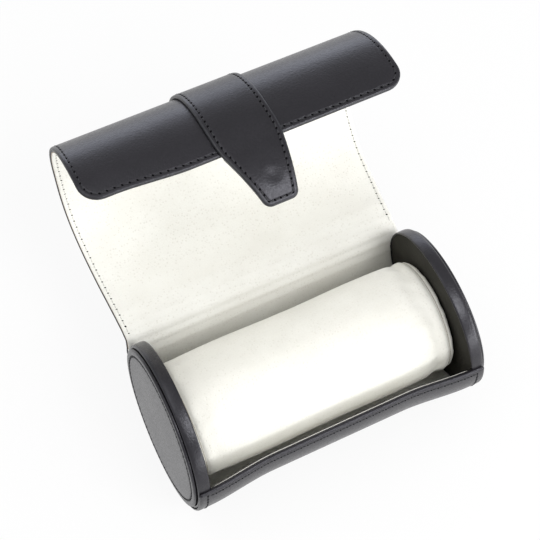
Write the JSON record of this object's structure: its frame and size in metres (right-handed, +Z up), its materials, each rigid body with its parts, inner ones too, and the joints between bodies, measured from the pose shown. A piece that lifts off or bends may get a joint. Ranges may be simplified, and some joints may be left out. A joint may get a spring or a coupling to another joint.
{
  "type": "watch travel roll",
  "caption": "Black leather watch travel roll, open: padded round end caps, a cream suede-lined lid that folds back in a curve, a tapered strap tab and a loose suede watch cushion.",
  "frame": {"origin": "middle of the flat under the trough that the roll rests on", "axes": "+X along the roll, -Y towards the front lip, +Z up"},
  "size_m": [0.1476, 0.1544, 0.1467],
  "materials": {
    "outer_leather": "smooth black leather with a satin sheen",
    "cap_leather": "smooth black leather, soft sheen",
    "face_leather": "smooth black leather, stitched round the rim",
    "strap_leather": "smooth black leather, painted edge",
    "suede_lining": "cream pigskin suede, matte",
    "cushion_suede": "cream pigskin suede, matte",
    "cap_lining": "dark charcoal microsuede",
    "board": "grey-brown stiffening board, hidden",
    "foam": "soft foam, hidden",
    "magnet": "thin nickel-plated magnet, hidden"
  },
  "bodies": {
    "trough": {"trough_leather": "outer_leather", "trough_board": "board", "trough_lining": "suede_lining", "trough_magnet": "magnet", "left_cap_core": "board", "left_cap_band": "cap_leather", "left_cap_lining": "cap_lining", "left_face_board": "board", "left_face_leather": "face_leather", "right_cap_core": "board", "right_cap_band": "cap_leather", "right_cap_lining": "cap_lining", "right_face_board": "board", "right_face_leather": "face_leather"},
    "cushion": {"cushion_cover": "cushion_suede", "cushion_foam": "foam", "cushion_end_left": "cushion_suede", "cushion_end_right": "cushion_suede"},
    "fold_1": {"fold_1_leather": "outer_leather", "fold_1_lining": "suede_lining"},
    "fold_2": {"fold_2_leather": "outer_leather", "fold_2_lining": "suede_lining"},
    "fold_3": {"fold_3_leather": "outer_leather", "fold_3_lining": "suede_lining"},
    "fold_4": {"fold_4_leather": "outer_leather", "fold_4_lining": "suede_lining"},
    "fold_5": {"fold_5_leather": "outer_leather", "fold_5_lining": "suede_lining"},
    "lid": {"lid_leather": "outer_leather", "lid_board": "board", "lid_lining": "suede_lining", "strap_back": "strap_leather"},
    "flap": {"flap_leather": "outer_leather", "flap_board": "board", "flap_lining": "suede_lining", "strap_front": "strap_leather"},
    "tab": {"tab_leather": "strap_leather", "tab_backing": "strap_leather", "tab_magnet": "magnet"}
  },
  "joints": [
    {"name": "lid_fold_1", "type": "hinge", "parent": "trough", "child": "fold_1", "pos_m": [0, 0.04116, 0.04407], "axis": [1, 0, 0], "range_deg": [0, 40]},
    {"name": "lid_fold_2", "type": "hinge", "parent": "fold_1", "child": "fold_2", "pos_m": [0, 0.04369, 0.04838], "axis": [1, 0, 0], "range_deg": [0, 44]},
    {"name": "lid_fold_3", "type": "hinge", "parent": "fold_2", "child": "fold_3", "pos_m": [0, 0.04831, 0.05029], "axis": [1, 0, 0], "range_deg": [0, 31]},
    {"name": "lid_fold_4", "type": "hinge", "parent": "fold_3", "child": "fold_4", "pos_m": [0, 0.05629, 0.05033], "axis": [1, 0, 0], "range_deg": [0, 14]},
    {"name": "lid_fold_5", "type": "hinge", "parent": "fold_4", "child": "fold_5", "pos_m": [0, 0.06627, 0.05008], "axis": [1, 0, 0], "range_deg": [0, 5]},
    {"name": "lid_fold_6", "type": "hinge", "parent": "fold_5", "child": "lid", "pos_m": [0, 0.07809, 0.05184], "axis": [1, 0, 0], "range_deg": [0, 2]},
    {"name": "flap_wrap", "type": "hinge", "parent": "lid", "child": "flap", "pos_m": [0, 0.10955, 0.09321], "axis": [1, 0, 0], "range_deg": [0, 12]},
    {"name": "tab_flex", "type": "hinge", "parent": "flap", "child": "tab", "pos_m": [0, 0.05554, 0.14396], "axis": [1, 0, 0], "range_deg": [-25, 16]},
    {"name": "cushion_turn", "type": "hinge", "parent": "trough", "child": "cushion", "pos_m": [0, 0, 0.0375], "axis": [1, 0, 0], "continuous": true}
  ]
}
